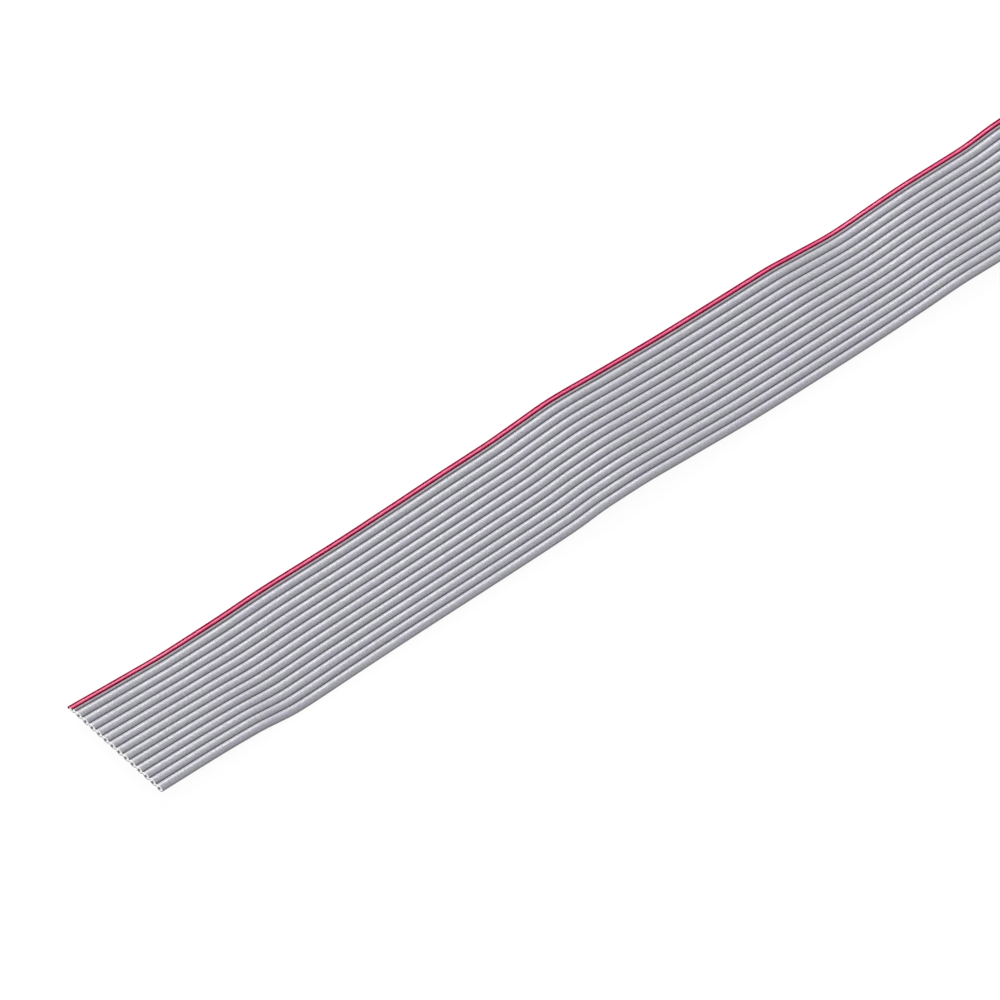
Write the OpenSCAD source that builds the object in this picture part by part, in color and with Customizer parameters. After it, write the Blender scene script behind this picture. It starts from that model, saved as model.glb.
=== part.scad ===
// Flat ribbon cable: a row of stranded conductors side by side in one ribbed
// insulation, with a coloured stripe on the rib of conductor 1, cut square at both ends.
// It lies loose on a flat surface, in the shallow waves that it keeps from its reel.
// +X runs along the cable, +Z is up, and the striped edge is at +Y.

/* [Cable] */
// Number of conductors side by side
ways = 14; // [8:1:16]
// Distance from one conductor to the next
pitch = 1.27; // [1.2:0.01:1.6]
// Length of the cable along the surface that it lies on
cable_length = 200; // [180:1:260]
// Height of its waves, as a multiple of the ones it has here
wave = 1; // [0:0.1:1.5]

/* [Insulation] */
// Thickness of the insulation over one conductor, which is the height of a rib
rib_t = 0.95; // [0.9:0.01:1.1]
// Width of a rib, which is rounded like an ellipse
rib_w = 1.22; // [1.1:0.01:1.25]
// Thickness of the web between two ribs
web_t = 0.3; // [0.2:0.01:0.4]
// Facets over a rib, from one web to the next
rib_facets = 4; // [4:2:6]

/* [Stripe] */
// Thickness of the coloured skin on the rib of conductor 1
stripe_t = 0.05; // [0.03:0.01:0.08]
// How far the stripe reaches over the top of its rib, as an angle from the outer edge
stripe_over = 128; // [110:1:150]
// How far it reaches down round the outer edge of its rib
stripe_under = 32; // [10:1:50]
// Facets across the stripe
stripe_facets = 5; // [4:1:7]

/* [Conductors] */
// Diameter of one strand, of which a conductor has six laid round one
strand_d = 0.127; // [0.08:0.001:0.14]
// Clearance between the insulation and each piece that it holds
fit = 0.01; // [0.005:0.001:0.02]

/* [Hidden] */

// How the cable lies, one line for each place along it: the distance from the end that
// is seen, then how high the underside of the striped edge and of the other edge stand
lay = [
    [0, 1.05, 1.25],
    [8, 0.5, 1.15],
    [15, 0.15, 0.85],
    [22, 0.25, 0],
    [31, 0.6, 0.3],
    [40, 0.55, 0.55],
    [50, 0.8, 0.7],
    [58, 1.1, 0.85],
    [65, 1.25, 1.1],
    [70, 1.65, 1.65],
    [75, 2.05, 1.75],
    [83, 1.6, 1.35],
    [94, 1.1, 0.8],
    [101, 1.0, 0.75],
    [109, 0.95, 0.8],
    [114, 0.5, 0.9],
    [120, 0, 1.1],
    [127, 0.4, 1.45],
    [132, 0.6, 1.35],
    [140, 0.55, 1.25],
    [147, 1.25, 1.0],
    [168, 0, 0]
];
route = concat(lay, [[cable_length, 0, 0]]);
last = len(route) - 1;

// Half the width and half the height of a rib, and of the seat of the stripe
rib_size = [rib_w, rib_t] / 2;
seat_size = rib_size - [stripe_t, stripe_t];
axis_span = (ways - 1) * pitch;
web_angle = asin(web_t / rib_t);

// A hexagon wraps the seven strands of a conductor: these are the radii of its corners
sides = 6;
corner = cos(180 / sides);
bundle_r = strand_d * (1 + 2 * corner) / 2 / corner;
bundle_size = [bundle_r, bundle_r];
bore_size = bundle_size + [fit, fit] / corner;

// The least angle between two corners of a rib
least_step = 5;

over_angles = [for (j = [0 : rib_facets]) web_angle + j * (180 - 2 * web_angle) / rib_facets];
under_angles = [for (a = over_angles) a + 180];
seat_angles = [
    for (j = [0 : stripe_facets]) j * (stripe_over + stripe_under) / stripe_facets - stripe_under
];

// The stripe itself ends a little short of the edges of its seat
short = fit / rib_size[0] * 180 / PI;
stripe_angles = [
    for (j = [0 : stripe_facets])
        seat_angles[j] + short * (1 - 2 * j / stripe_facets)
];
bundle_angles = [for (j = [0 : sides - 1]) j * 360 / sides];

function conductor_name(k) = str("conductor_", k < 10 ? "0" : "", k);

// Place of a section's point [y, z] at one line of the route. The sections at both ends
// stand upright, and the others stand square to the cable.
function edge_axis(i, edge) = wave * route[i][edge] + rib_size[1];
function axis_x(i) = route[i][0] - cable_length / 2;
function axis_z(i) = (edge_axis(i, 1) + edge_axis(i, 2)) / 2;
function roll(i) = asin((edge_axis(i, 1) - edge_axis(i, 2)) / axis_span);
function is_end(i) = i == 0 || i == last;
function lean(i) = is_end(i) ? 0 : atan2(axis_z(i + 1) - axis_z(i - 1), axis_x(i + 1) - axis_x(i - 1));
function across(i) = [0, cos(roll(i)), sin(roll(i))];
function along(i) = [cos(lean(i)), 0, sin(lean(i))];
function up(i) = let (u = cross(along(i), across(i))) u / norm(u);
function place(i, p) = [axis_x(i), 0, axis_z(i)] + p[0] * across(i) + p[1] * up(i);

// Points of a section on an ellipse round the axis of conductor k, counted from 0
function axis_y(k) = ((ways - 1) / 2 - k) * pitch;
function arc(k, size, angles) = [for (a = angles) [axis_y(k) + size[0] * cos(a), size[1] * sin(a)]];

function count_from(first, n) = [for (j = [0 : n - 1]) first + j];
function reversed(list) = [for (j = [len(list) - 1 : -1 : 0]) list[j]];

// Faces that fill the strip between an outer and an inner row of points
function strip(outer, inner) =
    let (a = len(outer) - 1, b = len(inner) - 1)
    [
        for (j = [0 : a - 1])
            let (p = round(j * b / a), q = round((j + 1) * b / a))
            p == q ? [outer[j], outer[j + 1], inner[p]] : [outer[j], outer[j + 1], inner[q], inner[p]]
    ];

// Sweeps a section along the cable. Each loop lists the section's points with the solid on
// its left, seen against the cable's direction, and end_faces fill the section the same way.
module sweep(section, loops, end_faces) {
    n = len(section);
    points = [for (i = [0 : last]) for (p = section) place(i, p)];
    far_faces = [for (f = end_faces) [for (j = reversed(f)) j + last * n]];
    side_faces = [
        for (i = [0 : last - 1], loop = loops, j = [0 : len(loop) - 1])
            let (a = i * n + loop[j], b = i * n + loop[(j + 1) % len(loop)])
            each [[a, a + n, b + n], [a, b + n, b]]
    ];
    polyhedron(points, concat(end_faces, far_faces, side_faces));
}

// The outline of the insulation, from the web under the striped rib, round that rib, over
// the others to the plain edge, and back under them
striped_under = arc(0, rib_size, concat(
    [for (a = under_angles) if (a < 360 - stripe_under - least_step) a],
    [360 - stripe_under]
));
striped_over = arc(0, rib_size, concat(
    [stripe_over],
    [for (a = over_angles) if (a > stripe_over + least_step) a]
));
stripe_seat = arc(0, seat_size, seat_angles);
plain_edge = arc(ways - 1, rib_size, concat(over_angles, [180], under_angles));
outline = concat(
    striped_under,
    stripe_seat,
    striped_over,
    [for (k = [1 : ways - 2]) each arc(k, rib_size, over_angles)],
    plain_edge,
    [for (k = [ways - 2 : -1 : 1]) each arc(k, rib_size, under_angles)]
);
bores = [for (k = [0 : ways - 1]) each arc(k, bore_size, bundle_angles)];

// Numbers of the points of that outline and of the bores
rib_n = rib_facets + 1;
seat_first = len(striped_under);
seat_last = seat_first + stripe_facets;
plain_edge_first = over_first(ways - 1);
function over_first(k) = seat_last + 1 + len(striped_over) + (k - 1) * rib_n;
function under_first(k) = plain_edge_first + len(plain_edge) + (ways - 2 - k) * rib_n;
function bore_row(k, first, steps) =
    [for (j = [0 : steps]) len(outline) + k * sides + (first + j) % sides];

striped_rib_end = concat(
    strip(count_from(0, seat_first + 1), bore_row(0, 3, 2)),
    strip(count_from(seat_first, stripe_facets + 1), bore_row(0, 5, 3)),
    strip(count_from(seat_last, len(striped_over) + 1), bore_row(0, 2, 1))
);
plain_ribs_end = [
    for (k = [1 : ways - 2]) each concat(
        strip(count_from(over_first(k), rib_n), bore_row(k, 0, 3)),
        strip(count_from(under_first(k), rib_n), bore_row(k, 3, 3))
    )
];
plain_edge_end = strip(count_from(plain_edge_first, len(plain_edge)), bore_row(ways - 1, 0, 6));
webs_end = [
    for (k = [0 : ways - 2]) [
        over_first(k + 1) - 1,
        over_first(k + 1),
        bore_row(k + 1, 0, 0)[0],
        under_first(k) - 1,
        under_first(k) % len(outline),
        bore_row(k, 3, 0)[0]
    ]
];

// The grey insulation, one extruded piece with a groove over and under each web
module insulation() {
    bore_loops = [for (k = [0 : ways - 1]) reversed(bore_row(k, 0, sides - 1))];
    color("silver")
        sweep(
            concat(outline, bores),
            concat([count_from(0, len(outline))], bore_loops),
            concat(striped_rib_end, plain_ribs_end, plain_edge_end, webs_end)
        );
}

// The coloured skin that marks conductor 1, let into its rib
module edge_stripe() {
    n = stripe_facets + 1;
    outer = arc(0, rib_size, stripe_angles);
    inner = arc(0, seat_size + [fit, fit], stripe_angles);
    loop = concat(count_from(0, n), reversed(count_from(n, n)));
    color("crimson")
        sweep(concat(outer, inner), [loop], strip(count_from(0, n), count_from(n, n)));
}

// The seven strands of conductor k, counted from 1 at the striped edge
module conductor(k) {
    loop = count_from(0, sides);
    color("lightgray")
        sweep(arc(k - 1, bundle_size, bundle_angles), [loop], [loop]);
}

insulation();
edge_stripe();
for (k = [1 : ways])
    conductor(k);
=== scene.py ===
import math

import bpy
import numpy as np
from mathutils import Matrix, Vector
from mathutils.geometry import tessellate_polygon


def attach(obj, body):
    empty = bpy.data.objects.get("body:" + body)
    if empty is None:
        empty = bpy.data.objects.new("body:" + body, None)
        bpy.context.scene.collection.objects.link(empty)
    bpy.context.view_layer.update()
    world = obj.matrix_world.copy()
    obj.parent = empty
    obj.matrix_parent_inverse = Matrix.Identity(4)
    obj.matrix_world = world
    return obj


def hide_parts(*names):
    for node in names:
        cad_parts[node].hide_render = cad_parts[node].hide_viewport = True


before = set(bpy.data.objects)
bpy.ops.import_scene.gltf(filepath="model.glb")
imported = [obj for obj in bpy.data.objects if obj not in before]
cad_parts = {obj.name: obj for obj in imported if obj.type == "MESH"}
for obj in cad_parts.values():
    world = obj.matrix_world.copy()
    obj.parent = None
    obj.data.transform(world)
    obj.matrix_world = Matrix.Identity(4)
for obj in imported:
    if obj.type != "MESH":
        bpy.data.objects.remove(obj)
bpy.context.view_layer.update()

# The cable, in metres: +X runs along it and the striped edge is at +Y
WAYS = 14
PITCH = 0.00127
LENGTH = 0.2
RIB_T = 0.00095
RIB_W = 0.00122
WEB_T = 0.0003
STRIPE_T = 0.00005
STRIPE_OVER = 128
STRIPE_UNDER = 32
STRAND_R = 0.0000635
FIT = 0.00001

# How the cable lies: the distance from the end that is seen, then how high the underside
# of the striped edge and of the plain edge stand
LAY = [
    (0.000, 0.00105, 0.00125),
    (0.008, 0.00050, 0.00115),
    (0.015, 0.00015, 0.00085),
    (0.022, 0.00025, 0.00000),
    (0.031, 0.00060, 0.00030),
    (0.040, 0.00055, 0.00055),
    (0.050, 0.00080, 0.00070),
    (0.058, 0.00110, 0.00085),
    (0.065, 0.00125, 0.00110),
    (0.070, 0.00165, 0.00165),
    (0.075, 0.00205, 0.00175),
    (0.083, 0.00160, 0.00135),
    (0.094, 0.00110, 0.00080),
    (0.101, 0.00100, 0.00075),
    (0.109, 0.00095, 0.00080),
    (0.114, 0.00050, 0.00090),
    (0.120, 0.00000, 0.00110),
    (0.127, 0.00040, 0.00145),
    (0.132, 0.00060, 0.00135),
    (0.140, 0.00055, 0.00125),
    (0.147, 0.00125, 0.00100),
    (0.168, 0.00000, 0.00000),
    (LENGTH, 0.00000, 0.00000),
]

# The camera: a long lens that looks down along the photograph's line of sight
AZIMUTH = -39.9
ELEVATION = 49.0
LENS_MM = 1500
SENSOR_MM = 36
PIXELS_ACROSS = 1000
PIXELS_PER_METRE = 8271
VIEW_WIDTH = PIXELS_ACROSS / PIXELS_PER_METRE
AIM = Vector((-0.0387, 0.001265, 0.000855))


def look_back(azimuth, elevation):
    """The direction from what is looked at to the camera."""
    a = math.radians(azimuth)
    e = math.radians(elevation)
    return Vector((math.sin(a) * math.cos(e), -math.cos(a) * math.cos(e), math.sin(e)))


def make_camera():
    data = bpy.data.cameras.new("camera")
    data.lens = LENS_MM
    data.sensor_width = SENSOR_MM
    back = look_back(AZIMUTH, ELEVATION)
    distance = VIEW_WIDTH * LENS_MM / SENSOR_MM
    camera = bpy.data.objects.new("camera", data)
    camera.location = AIM + back * distance
    camera.rotation_euler = (-back).to_track_quat("-Z", "Y").to_euler()
    bpy.context.scene.collection.objects.link(camera)
    bpy.context.scene.camera = camera


# The cable's course, as smooth heights through the route's points
def monotone(xs, ys, at):
    """A smooth curve through the points that rises and falls only where they do."""
    step = np.diff(xs)
    slope = np.diff(ys) / step
    bend = np.zeros(len(xs))
    bend[0] = slope[0]
    bend[-1] = slope[-1]
    for i in range(1, len(xs) - 1):
        if slope[i - 1] * slope[i] > 0:
            before = 2 * step[i] + step[i - 1]
            after = step[i] + 2 * step[i - 1]
            bend[i] = (before + after) / (before / slope[i - 1] + after / slope[i])
    i = np.clip(np.searchsorted(xs, at, side="right") - 1, 0, len(xs) - 2)
    t = (at - xs[i]) / step[i]
    return (
        ys[i] * (1 + 2 * t) * (1 - t) ** 2
        + bend[i] * step[i] * t * (1 - t) ** 2
        + ys[i + 1] * t ** 2 * (3 - 2 * t)
        + bend[i + 1] * step[i] * t ** 2 * (t - 1)
    )


AXIS_SPAN = (WAYS - 1) * PITCH

# Half the width and half the height of a rib, and of the seat of the stripe
RIB = (RIB_W / 2, RIB_T / 2)
SEAT = (RIB[0] - STRIPE_T, RIB[1] - STRIPE_T)


def course(count):
    """Centres, directions across the cable and directions up, at rings along it."""
    lay = np.array(LAY)
    at = np.linspace(0, LENGTH, count)
    striped = monotone(lay[:, 0], lay[:, 1], at) + RIB_T / 2
    plain = monotone(lay[:, 0], lay[:, 2], at) + RIB_T / 2
    middle = (striped + plain) / 2
    centres = np.stack([at - LENGTH / 2, np.zeros(count), middle], 1)
    roll = np.arcsin((striped - plain) / AXIS_SPAN)
    lean = np.arctan(np.gradient(middle, at))
    lean[[0, -1]] = 0
    across = np.stack([np.zeros(count), np.cos(roll), np.sin(roll)], 1)
    along = np.stack([np.cos(lean), np.zeros(count), np.sin(lean)], 1)
    up = np.cross(along, across)
    up /= np.linalg.norm(up, axis=1)[:, None]
    return centres, across, up


def swept(section, count):
    """A section's points at each ring along the cable, as it lies and as it would be straight."""
    centres, across, up = course(count)
    y, z = np.array(section).T
    lying = (
        centres[:, None, :]
        + y[None, :, None] * across[:, None, :]
        + z[None, :, None] * up[:, None, :]
    )
    at, y = np.meshgrid(np.linspace(0, LENGTH, count), y, indexing="ij")
    straight = np.stack([at, y, np.broadcast_to(z, y.shape)], 2)
    return lying, straight


def axis_y(k):
    """Where the axis of conductor k, counted from 0 at the striped edge, lies."""
    return ((WAYS - 1) / 2 - k) * PITCH


def arc(k, size, start, end, steps):
    """Points on an ellipse round the axis of conductor k, given half its width and height."""
    turn = np.radians(np.linspace(start, end, steps + 1))
    return [(axis_y(k) + size[0] * math.cos(a), size[1] * math.sin(a)) for a in turn]


# Mesh building: edges that turn by more than this many degrees look sharp
SHARP_TURN = 40


class Mesh:
    """Collects points, their places on the straight cable, and faces with material numbers."""

    def __init__(self):
        self.points = []
        self.straight = []
        self.faces = []
        self.kinds = []

    def face(self, corners, kind=0):
        self.faces.append(tuple(corners))
        self.kinds.append(kind)

    def tube(self, lying, straight, inward=False):
        """Joins rings of points, and returns the numbers of the first and the last ring."""
        count, size = lying.shape[:2]
        first = len(self.points)
        self.points.extend(lying.reshape(-1, 3).tolist())
        self.straight.extend(straight.reshape(-1, 3).tolist())
        for i in range(count - 1):
            for j in range(size):
                a = first + i * size + j
                b = first + i * size + (j + 1) % size
                corners = (a, b, b + size, a + size)
                self.face(corners[::-1] if inward else corners)
        near = list(range(first, first + size))
        far = [n + (count - 1) * size for n in near]
        return near, far

    def cap(self, loops, kind, flip):
        """Fills the flat region between an outline and the holes in it."""
        numbers = [n for loop in loops for n in loop]
        outlines = [[Vector((0, *self.points[n][1:])) for n in loop] for loop in loops]
        for a, b, c in tessellate_polygon(outlines):
            corners = [numbers[a], numbers[b], numbers[c]]
            p, q, r = [np.array(self.points[n]) for n in corners]
            if (np.cross(q - p, r - p)[0] > 0) == flip:
                corners.reverse()
            self.face(corners, kind)

    def build(self, name, materials):
        mesh = bpy.data.meshes.new(name)
        mesh.from_pydata(self.points, [], self.faces)
        for material in materials:
            mesh.materials.append(material)
        mesh.polygons.foreach_set("material_index", self.kinds)
        mesh.polygons.foreach_set("use_smooth", [True] * len(self.faces))
        mesh.set_sharp_from_angle(angle=math.radians(SHARP_TURN))
        places = mesh.attributes.new("straight", "FLOAT_VECTOR", "POINT")
        places.data.foreach_set("vector", np.array(self.straight).ravel())
        mesh.update()
        piece = bpy.data.objects.new(name, mesh)
        bpy.context.scene.collection.objects.link(piece)
        return piece


# Materials, in linear colours
GREY_VIOLET = (0.35, 0.341, 0.396, 1)
GREY_PLAIN = (0.35, 0.355, 0.377, 1)
# A pale pink painted light on the grey just beside the stripe
PINK_PAINTED_LIGHT = (0.56, 0.43, 0.49, 1)
# The stripe's red: lighter on top of the rib as a painted highlight, darker down its inner and
# outer sides as painted shade
RED_PAINTED_HIGHLIGHT = (0.6, 0.032, 0.15, 1)
RED_PAINTED_SHADE_INNER = (0.14, 0.0008, 0.016, 1)
RED_PAINTED_SHADE_OUTER = (0.2, 0.0008, 0.03, 1)
CUT_PALE = (0.87, 0.87, 0.88, 1)
CUT_MARKED = (0.76, 0.76, 0.78, 1)
# Painted shade along the foot of the cut face
CUT_PAINTED_SHADE = (0.13, 0.13, 0.14, 1)

# The sizes of noises along the cable, across it and up through it, in metres
STREAKS = (0.015, 0.00012, 0.00012)
GRAIN = (0.00022, 0.00018, 0.00018)
UNEVEN = (0.0009, 0.0005, 0.0005)
PATCHES = (0.004, 0.0012, 0.0012)
RAGGED = (0.0012, 0.0003, 0.0003)
BLADE_MARKS = (1.0, 0.00003, 0.0005)
CRUMBS = (0.00008, 0.00008, 0.00008)
WIRE_STREAKS = (0.002, 0.00001, 0.00001)
WIRE_STAINS = (0.0006, 0.00006, 0.00006)

# How deep the relief that they make is
STREAKS_DEPTH = 0.000002
GRAIN_DEPTH = 0.000006
UNEVEN_DEPTH = 0.000007
MARKS_DEPTH = 0.000004
CRUMBS_DEPTH = 0.000003
WIRE_DEPTH = 0.0000008

# From where to where painted shade and painted light fade on a rib, in pitches from its middle
GROOVE_SHADE_FADE = (0.4, 0.47)
PAINTED_LIGHT_FADE = (0.36, 0.42)
FLANK_SHADE_FADE = (0.05, 0.22)
RED_SHADE_FADE = (0.05, 0.15)
RED_SHADE_RAGGED = 0.02
RED_HIGHLIGHT_SHIFT = 0.022

# The same for heights over the middle of the insulation, in metres
PAINTED_LIGHT_FOOT_FADE = (0.0001, 0.0002)
CUT_SHADE_FOOT_FADE = (-0.00014, 0.0)

# The same for the way out to the rib's outline, squared
CUT_OUTLINE_FADE = (0.5, 0.74)

# How dark the painted shade in the grooves between the ribs is, how much of it the cable's outer
# flanks keep, and how much painted shade those outer flanks get
GROOVE_SHADE = 0.26
OUTER_GROOVE_SHADE = 0.6
FLANK_SHADE = 0.08

# How glossy the grey, the red under its painted highlight and the painted shade in the grooves are
GREY_GLOSS = 0.57
RED_GLOSS = 0.48
GROOVE_SHADE_GLOSS = 0.02


class Shade:
    """A material built from procedural textures, laid out along the straight cable."""

    def __init__(self, name):
        self.material = bpy.data.materials.new(name)
        self.material.use_nodes = True
        self.nodes = self.material.node_tree.nodes
        self.links = self.material.node_tree.links
        self.shader = self.nodes["Principled BSDF"]
        self.straight = self.put("Attribute", {}, attribute_name="straight").outputs["Vector"]

    def put(self, kind, inputs, **settings):
        """Adds a node, with a number or another node's output on each of its inputs."""
        node = self.nodes.new("ShaderNode" + kind)
        for name, value in settings.items():
            setattr(node, name, value)
        for name, value in inputs.items():
            self.feed(node.inputs[name], value)
        return node

    def feed(self, socket, value):
        if isinstance(value, bpy.types.NodeSocket):
            self.links.new(value, socket)
        else:
            socket.default_value = value

    def set(self, **inputs):
        for name, value in inputs.items():
            self.feed(self.shader.inputs[name.replace("_", " ")], value)

    def math(self, operation, a, b=0.0):
        return self.put("Math", {0: a, 1: b}, operation=operation).outputs[0]

    def between(self, value, start, end, low, high):
        """Maps the values from start to end onto those from low to high."""
        inputs = {"Value": value, "From Min": start, "From Max": end, "To Min": low, "To Max": high}
        return self.put("MapRange", inputs).outputs[0]

    def spread(self, noise, low, high, reach=0.2):
        """Maps a noise, as far as it reaches to either side of a half, from low to high."""
        return self.between(noise, 0.5 - reach, 0.5 + reach, low, high)

    def noise(self, size, detail=3.0):
        """Cloudy noise whose patches have this size."""
        scale = [1 / length for length in size]
        place = self.put("Mapping", {"Vector": self.straight, "Scale": scale}).outputs[0]
        return self.put("TexNoise", {"Vector": place, "Scale": 1.0, "Detail": detail}).outputs[0]

    def blend(self, amount, first, second):
        """Mixes two colours."""
        node = self.put("Mix", {0: amount}, data_type="RGBA")
        self.feed(node.inputs[6], first)
        self.feed(node.inputs[7], second)
        return node.outputs[2]

    def lighter(self, colour, factor):
        inputs = {"Color": colour, "Value": factor}
        return self.put("HueSaturation", inputs).outputs[0]

    def bump(self, *layers):
        """Relief from several noises, each with its depth."""
        normal = None
        for noise, depth in layers:
            node = self.put("Bump", {"Height": noise, "Distance": depth, "Strength": 1.0})
            if normal:
                self.links.new(normal, node.inputs["Normal"])
            normal = node.outputs[0]
        self.set(Normal=normal)

    def rib(self, shift=0.0):
        """Which rib a point is on, how far it is from the middle of that rib, in pitches, and
        whether it is beyond the middle of the first or last rib. The shift moves the middle
        of the striped rib inward, in pitches."""
        y = self.put("SeparateXYZ", {0: self.straight}).outputs["Y"]
        place = self.math("DIVIDE", self.math("ADD", y, AXIS_SPAN / 2 + shift * PITCH), PITCH)
        number = self.math("ROUND", place)
        outside = self.math("GREATER_THAN", self.math("ABSOLUTE", y), AXIS_SPAN / 2)
        return number, self.math("PINGPONG", place, 0.5), outside

    def height(self):
        """How high a point is over the middle of the insulation's thickness."""
        return self.put("SeparateXYZ", {0: self.straight}).outputs["Z"]


def extruded(shade, number, colour, gloss):
    """Soft extruded PVC: uneven from rib to rib, streaked along the cable and finely grained."""
    tone = shade.put("TexWhiteNoise", {"W": number}, noise_dimensions="1D").outputs["Value"]
    streaks = shade.noise(STREAKS)
    grain = shade.noise(GRAIN, detail=2.0)
    uneven = shade.noise(UNEVEN)
    colour = shade.lighter(colour, shade.between(tone, 0.0, 1.0, 0.97, 1.03))
    colour = shade.lighter(colour, shade.spread(streaks, 0.95, 1.05))
    colour = shade.lighter(colour, shade.spread(grain, 0.82, 1.18))
    shade.set(
        Base_Color=colour,
        Roughness=shade.spread(uneven, 0.34, 0.46),
        Specular_IOR_Level=gloss,
    )
    shade.bump((streaks, STREAKS_DEPTH), (uneven, UNEVEN_DEPTH), (grain, GRAIN_DEPTH))
    return shade.material


def grey_pvc():
    """The insulation, in two close shades, with painted shade in the grooves between the ribs,
    painted shade on the outer flanks and a pale pink painted light beside the stripe."""
    shade = Shade("grey_pvc")
    number, off_middle, outside = shade.rib()
    # Painted shade in the grooves between the ribs, less of it on the cable's outer flanks
    painted_shade = shade.between(off_middle, *GROOVE_SHADE_FADE, 0.0, 1.0)
    painted_shade = shade.math("MULTIPLY", painted_shade, shade.between(outside, 0.0, 1.0, 1.0, OUTER_GROOVE_SHADE))
    # Painted shade on the outer flanks of the first and last ribs
    flank_shade = shade.math("MULTIPLY", outside, shade.between(off_middle, *FLANK_SHADE_FADE, 0.0, FLANK_SHADE))
    painted_shade = shade.math("MAXIMUM", painted_shade, flank_shade)
    # Pale pink painted light on the grey just beside the stripe, above the web
    painted_light = shade.math("COMPARE", number, WAYS - 1.0)
    painted_light = shade.math("MULTIPLY", painted_light, shade.between(off_middle, *PAINTED_LIGHT_FADE, 1.0, 0.0))
    upper = shade.between(shade.height(), *PAINTED_LIGHT_FOOT_FADE, 0.0, 1.0)
    painted_light = shade.math("MULTIPLY", painted_light, upper)
    patches = shade.spread(shade.noise(PATCHES), 0.0, 1.0, reach=0.15)
    colour = shade.blend(patches, GREY_VIOLET, GREY_PLAIN)
    colour = shade.blend(painted_light, colour, PINK_PAINTED_LIGHT)
    colour = shade.lighter(colour, shade.between(painted_shade, 0.0, 1.0, 1.0, GROOVE_SHADE))
    gloss = shade.between(painted_shade, 0.0, 1.0, GREY_GLOSS, GROOVE_SHADE_GLOSS)
    return extruded(shade, number, colour, gloss)


def red_pvc():
    """The stripe, with a painted highlight on top of the rib and painted shade down its sides."""
    shade = Shade("red_pvc")
    number, off_middle, outside = shade.rib(RED_HIGHLIGHT_SHIFT)
    ragged = shade.spread(shade.noise(RAGGED), -RED_SHADE_RAGGED, RED_SHADE_RAGGED)
    # Painted shade down the stripe's sides, around a painted highlight on top, with a ragged edge
    side = shade.between(shade.math("ADD", off_middle, ragged), *RED_SHADE_FADE, 0.0, 1.0)
    shaded_red = shade.blend(outside, RED_PAINTED_SHADE_INNER, RED_PAINTED_SHADE_OUTER)
    colour = shade.blend(side, RED_PAINTED_HIGHLIGHT, shaded_red)
    return extruded(shade, number, colour, shade.between(side, 0.0, 1.0, RED_GLOSS, 0.0))


def cut_face():
    """PVC where the blade went through: paler, marked by the blade, with painted shade along its
    foot.
    """
    shade = Shade("cut_pvc")
    off_middle = shade.rib()[1]
    height = shade.height()
    marks = shade.noise(BLADE_MARKS)
    crumbs = shade.noise(CRUMBS)
    wide = shade.math("POWER", shade.math("MULTIPLY", off_middle, PITCH / RIB[0]), 2.0)
    high = shade.math("POWER", shade.math("MULTIPLY", height, 1 / RIB[1]), 2.0)
    # Painted shade along the lower outline of the cut face
    near_outline = shade.between(shade.math("ADD", wide, high), *CUT_OUTLINE_FADE, 0.0, 1.0)
    painted_foot_shade = shade.math("MULTIPLY", near_outline, shade.between(height, *CUT_SHADE_FOOT_FADE, 1.0, 0.0))
    colour = shade.blend(marks, CUT_PALE, CUT_MARKED)
    colour = shade.lighter(colour, shade.spread(crumbs, 0.95, 1.05))
    colour = shade.blend(painted_foot_shade, colour, CUT_PAINTED_SHADE)
    shade.set(Base_Color=colour, Roughness=shade.spread(crumbs, 0.5, 0.7))
    shade.bump((marks, MARKS_DEPTH), (crumbs, CRUMBS_DEPTH))
    return shade.material


def metal(name, first, second, rough):
    """Drawn or cut metal, streaked along the wire and stained from one colour to another."""
    shade = Shade(name)
    streaks = shade.noise(WIRE_STREAKS)
    stains = shade.spread(shade.noise(WIRE_STAINS), 0.0, 1.0, reach=0.15)
    shade.set(
        Base_Color=shade.blend(stains, first, second),
        Metallic=1.0,
        Roughness=shade.spread(streaks, rough - 0.08, rough + 0.08),
    )
    shade.bump((streaks, WIRE_DEPTH))
    return shade.material


GREY = grey_pvc()
RED = red_pvc()
CUT = cut_face()
TIN = metal("tinned_strand", (0.4, 0.4, 0.41, 1), (0.3, 0.3, 0.31, 1), rough=0.35)
# The cut ends' dark colour is the metal's own with painted shade of the gaps between the strands
COPPER = metal("cut_strand", (0.26, 0.215, 0.19, 1), (0.185, 0.17, 0.17, 1), rough=0.5)

# The insulation: rings along it, and steps round its section
RINGS = 171
BORE_RINGS = 41
OVER_STEPS = 12
UNDER_STEPS = 8
STRIPE_STEPS = 12
SLIVER_STEPS = 3
BORE_STEPS = 16
BORE = (3 * STRAND_R + FIT, 3 * STRAND_R + FIT)

# The hollow curve at the foot of a rib: how far it rises, how much of the way to the middle
# of the web it takes, and the angle on the rib where it ends
FOOT_RISE = 0.00005
FOOT_REACH = 0.6
FOOT_STEPS = 3
RIB_START = math.degrees(math.asin((WEB_T / 2 + FOOT_RISE) / RIB[1]))


def foot(k, side):
    """The hollow curve over the web on one side of rib k, from the web to the rib."""
    start = math.radians(RIB_START)
    end_y = RIB[0] * math.cos(start)
    slope = RIB[1] * math.cos(start) / (RIB[0] * math.sin(start))
    foot_y = end_y + FOOT_RISE / slope
    start_y = foot_y + (PITCH / 2 - foot_y) * FOOT_REACH
    points = [(PITCH / 2, WEB_T / 2)]
    for i in range(FOOT_STEPS):
        t = i / FOOT_STEPS
        y = (1 - t) ** 2 * start_y + 2 * t * (1 - t) * foot_y + t ** 2 * end_y
        z = WEB_T / 2 + t ** 2 * FOOT_RISE
        points.append((y, z))
    if side < 0:
        points = points[1:]
    return [(axis_y(k) + side * y, z) for y, z in points]


def turned(points, k):
    """The same points turned half round the axis of conductor k."""
    return [(2 * axis_y(k) - y, -z) for y, z in points]


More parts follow.
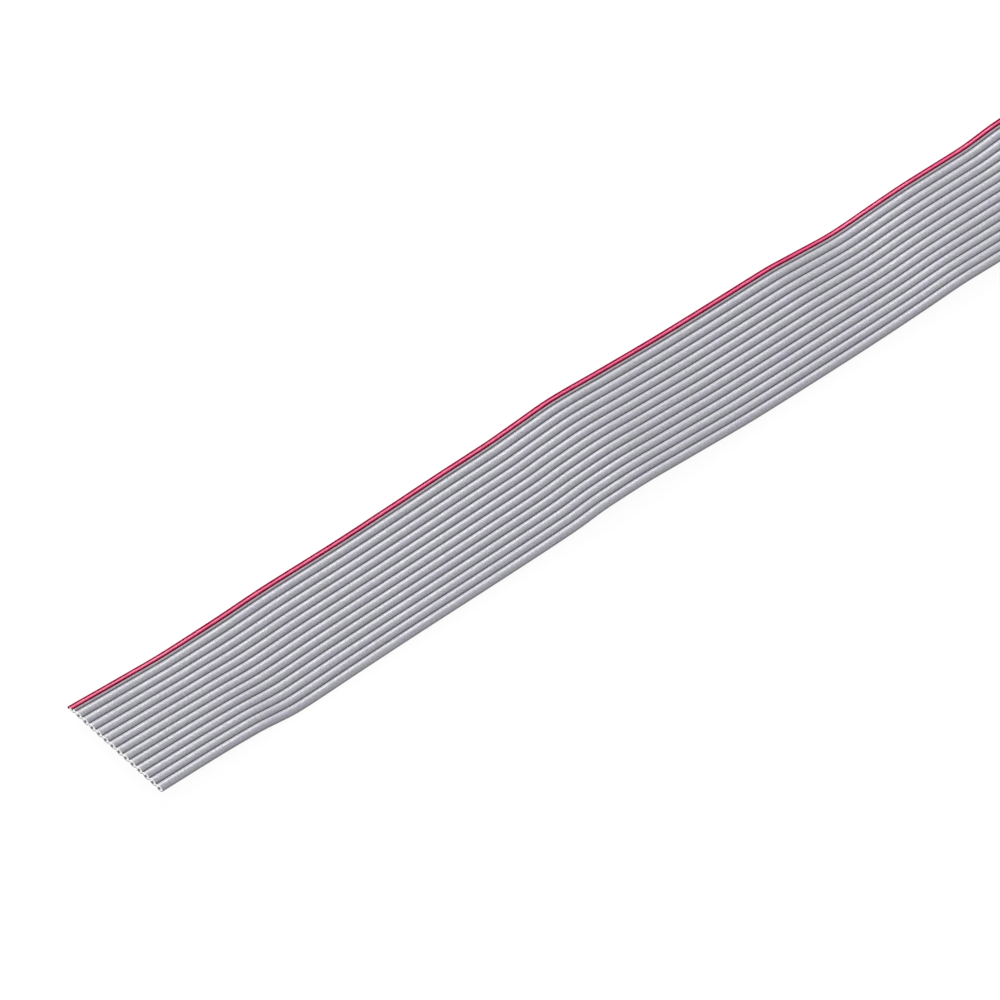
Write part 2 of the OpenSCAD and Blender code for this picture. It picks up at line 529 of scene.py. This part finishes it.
def over_rib(k, steps):
    rib = arc(k, RIB, RIB_START, 180 - RIB_START, steps)
    return foot(k, 1) + rib + foot(k, -1)[::-1]


def under_rib(k):
    return turned(over_rib(k, UNDER_STEPS), k)


def striped_rib():
    """Round the striped rib, from the web under it to the web over it."""
    flank = arc(0, RIB, 180 + RIB_START, 360 - STRIPE_UNDER, UNDER_STEPS)
    under = turned(foot(0, 1), 0) + flank
    seat = arc(0, SEAT, -STRIPE_UNDER, STRIPE_OVER, STRIPE_STEPS)
    over = arc(0, RIB, STRIPE_OVER, 180 - RIB_START, SLIVER_STEPS) + foot(0, -1)[::-1]
    return under + seat + over


def plain_edge():
    """Round the last rib, from the web over it to the web under it."""
    k = WAYS - 1
    rib = arc(k, RIB, RIB_START, 360 - RIB_START, OVER_STEPS + UNDER_STEPS)
    return foot(k, 1) + rib + turned(foot(k, -1), k)[::-1]


def make_insulation():
    outline = striped_rib()
    for k in range(1, WAYS - 1):
        outline += over_rib(k, OVER_STEPS)
    outline += plain_edge()
    for k in range(WAYS - 2, 0, -1):
        outline += under_rib(k)
    mesh = Mesh()
    near, far = mesh.tube(*swept(outline, RINGS))
    near_loops = [near]
    far_loops = [far]
    for k in range(WAYS):
        bore = arc(k, BORE, 0, 360, BORE_STEPS)[:-1]
        near, far = mesh.tube(*swept(bore, BORE_RINGS), inward=True)
        near_loops.append(near)
        far_loops.append(far)
    mesh.cap(near_loops, 1, True)
    mesh.cap(far_loops, 1, False)
    return mesh.build("insulation_pvc", [GREY, CUT])


# The stripe: the angle by which it ends short of each edge of its seat, and how far its skin
# was drawn out past the cut at the end that is seen
STRIPE_GAP = math.degrees(FIT / RIB[0])
STRIPE_DRAWN_OUT = 0.0002


def make_stripe():
    start = STRIPE_GAP - STRIPE_UNDER
    end = STRIPE_OVER - STRIPE_GAP
    outer = arc(0, RIB, start, end, STRIPE_STEPS)
    inner = arc(0, (SEAT[0] + FIT, SEAT[1] + FIT), end, start, STRIPE_STEPS)
    mesh = Mesh()
    lying, straight = swept(outer + inner, RINGS)
    lying[0, :, 0] -= STRIPE_DRAWN_OUT
    near, far = mesh.tube(lying, straight)
    mesh.cap([near], 0, True)
    mesh.cap([far], 0, False)
    return mesh.build("red_stripe", [RED])


# The conductors: how many strands lie round the middle one, the length in which they turn
# once, and how far they stand proud of the cut, apart from where the stripe hides them
OUTER_STRANDS = 6
STRAND_LAY = 0.009
STRAND_PROUD = 0.00012
STRAND_SIDES = 8
STRAND_RINGS = 161


def make_conductor(k):
    """Strands laid round one, which stand a little proud where the insulation is cut."""
    centres, across, up = course(STRAND_RINGS)
    centres[0, 0] -= STRAND_PROUD if k > 0 else 0
    centres[-1, 0] += STRAND_PROUD
    twist = 2 * math.pi * centres[:, 0] / STRAND_LAY + k
    mesh = Mesh()
    for strand in range(OUTER_STRANDS + 1):
        reach = 2 * STRAND_R if strand < OUTER_STRANDS else 0
        phase = twist + 2 * math.pi * strand / OUTER_STRANDS
        a = twist[:, None] + 2 * math.pi * np.arange(STRAND_SIDES)[None, :] / STRAND_SIDES
        y = axis_y(k) + reach * np.cos(phase)[:, None] + STRAND_R * np.cos(a)
        z = reach * np.sin(phase)[:, None] + STRAND_R * np.sin(a)
        lying = (
            centres[:, None, :]
            + y[:, :, None] * across[:, None, :]
            + z[:, :, None] * up[:, None, :]
        )
        at = np.broadcast_to(centres[:, 0, None] + LENGTH / 2, y.shape)
        near, far = mesh.tube(lying, np.stack([at, y, z], 2))
        mesh.cap([near], 1, True)
        mesh.cap([far], 1, False)
    return mesh.build(f"strands_{k + 1:02d}", [TIN, COPPER])


make_camera()
insulation = make_insulation()
stripe = make_stripe()
conductors = [make_conductor(k) for k in range(WAYS)]

for piece, node, slot in [
    (insulation, "insulation", "insulation"),
    (stripe, "edge_stripe", "edge_stripe"),
    *[(c, f"conductor_{k + 1:02d}", "conductor") for k, c in enumerate(conductors)],
]:
    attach(piece, "root")
    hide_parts(node)

path = course(RINGS)[0]

# The floor, the lights and the background
FLOOR_SIZE = 4.0
FLOOR_DROP = 0.00002
FLOOR_COLOUR = (0.8, 0.8, 0.8, 1)
FLOOR_SEEN_COLOUR = (0.09, 0.09, 0.09, 1)
FLOOR_SEEN_GLOW = 0.93
SOFTBOX_SPREAD = 0.5
WHITE = (1, 1, 1, 1)
FILL_STRENGTH = 0.615


def seen_rays(tree):
    """Whether a ray comes from the camera, or from it by way of something glossy or clear."""
    rays = tree.nodes.new("ShaderNodeLightPath").outputs
    seen = rays["Is Camera Ray"]
    for kind in ["Is Glossy Ray", "Is Transmission Ray"]:
        either = tree.nodes.new("ShaderNodeMath")
        either.operation = "MAXIMUM"
        tree.links.new(seen, either.inputs[0])
        tree.links.new(rays[kind], either.inputs[1])
        seen = either.outputs[0]
    return seen


def make_floor():
    """A pale floor that looks white where it is lit and keeps a faint shadow."""
    half = FLOOR_SIZE / 2
    corners = [(-half, -half, 0), (half, -half, 0), (half, half, 0), (-half, half, 0)]
    mesh = bpy.data.meshes.new("floor")
    mesh.from_pydata(corners, [], [(0, 1, 2, 3)])
    shade = Shade("floor")
    shade.nodes.remove(shade.shader)
    pale = shade.put("BsdfDiffuse", {"Color": FLOOR_COLOUR}).outputs[0]
    shadowed = shade.put("BsdfDiffuse", {"Color": FLOOR_SEEN_COLOUR}).outputs[0]
    glow = shade.put("Emission", {"Strength": FLOOR_SEEN_GLOW}).outputs[0]
    white = shade.put("AddShader", {0: shadowed, 1: glow}).outputs[0]
    mix = shade.put("MixShader", {0: seen_rays(shade.material.node_tree), 1: pale, 2: white})
    shade.links.new(mix.outputs[0], shade.nodes["Material Output"].inputs["Surface"])
    mesh.materials.append(shade.material)
    floor = bpy.data.objects.new("floor", mesh)
    floor.location.z = -FLOOR_DROP
    bpy.context.scene.collection.objects.link(floor)


def make_softbox(name, azimuth, elevation, distance, power):
    data = bpy.data.lights.new(name, "AREA")
    data.shape = "DISK"
    data.size = SOFTBOX_SPREAD * distance
    data.energy = power
    light = bpy.data.objects.new(name, data)
    back = look_back(azimuth, elevation)
    light.location = AIM + back * distance
    light.rotation_euler = (-back).to_track_quat("-Z", "Y").to_euler()
    bpy.context.scene.collection.objects.link(light)


def make_world():
    """Even light from all round, and white where it is seen past the floor."""
    world = bpy.data.worlds.new("studio")
    bpy.context.scene.world = world
    world.use_nodes = True
    nodes = world.node_tree.nodes
    links = world.node_tree.links
    fill = nodes["Background"]
    fill.inputs["Color"].default_value = WHITE
    fill.inputs["Strength"].default_value = FILL_STRENGTH
    white = nodes.new("ShaderNodeBackground")
    white.inputs["Color"].default_value = WHITE
    white.inputs["Strength"].default_value = 1.0
    mix = nodes.new("ShaderNodeMixShader")
    links.new(seen_rays(world.node_tree), mix.inputs[0])
    links.new(fill.outputs[0], mix.inputs[1])
    links.new(white.outputs[0], mix.inputs[2])
    links.new(mix.outputs[0], nodes["World Output"].inputs["Surface"])


make_floor()
make_softbox("back_softbox", azimuth=156, elevation=39, distance=0.6, power=3.04)
make_softbox("end_softbox", azimuth=-75, elevation=25, distance=2.0, power=15.6)
make_world()

scene = bpy.context.scene
scene.view_settings.view_transform = "Standard"
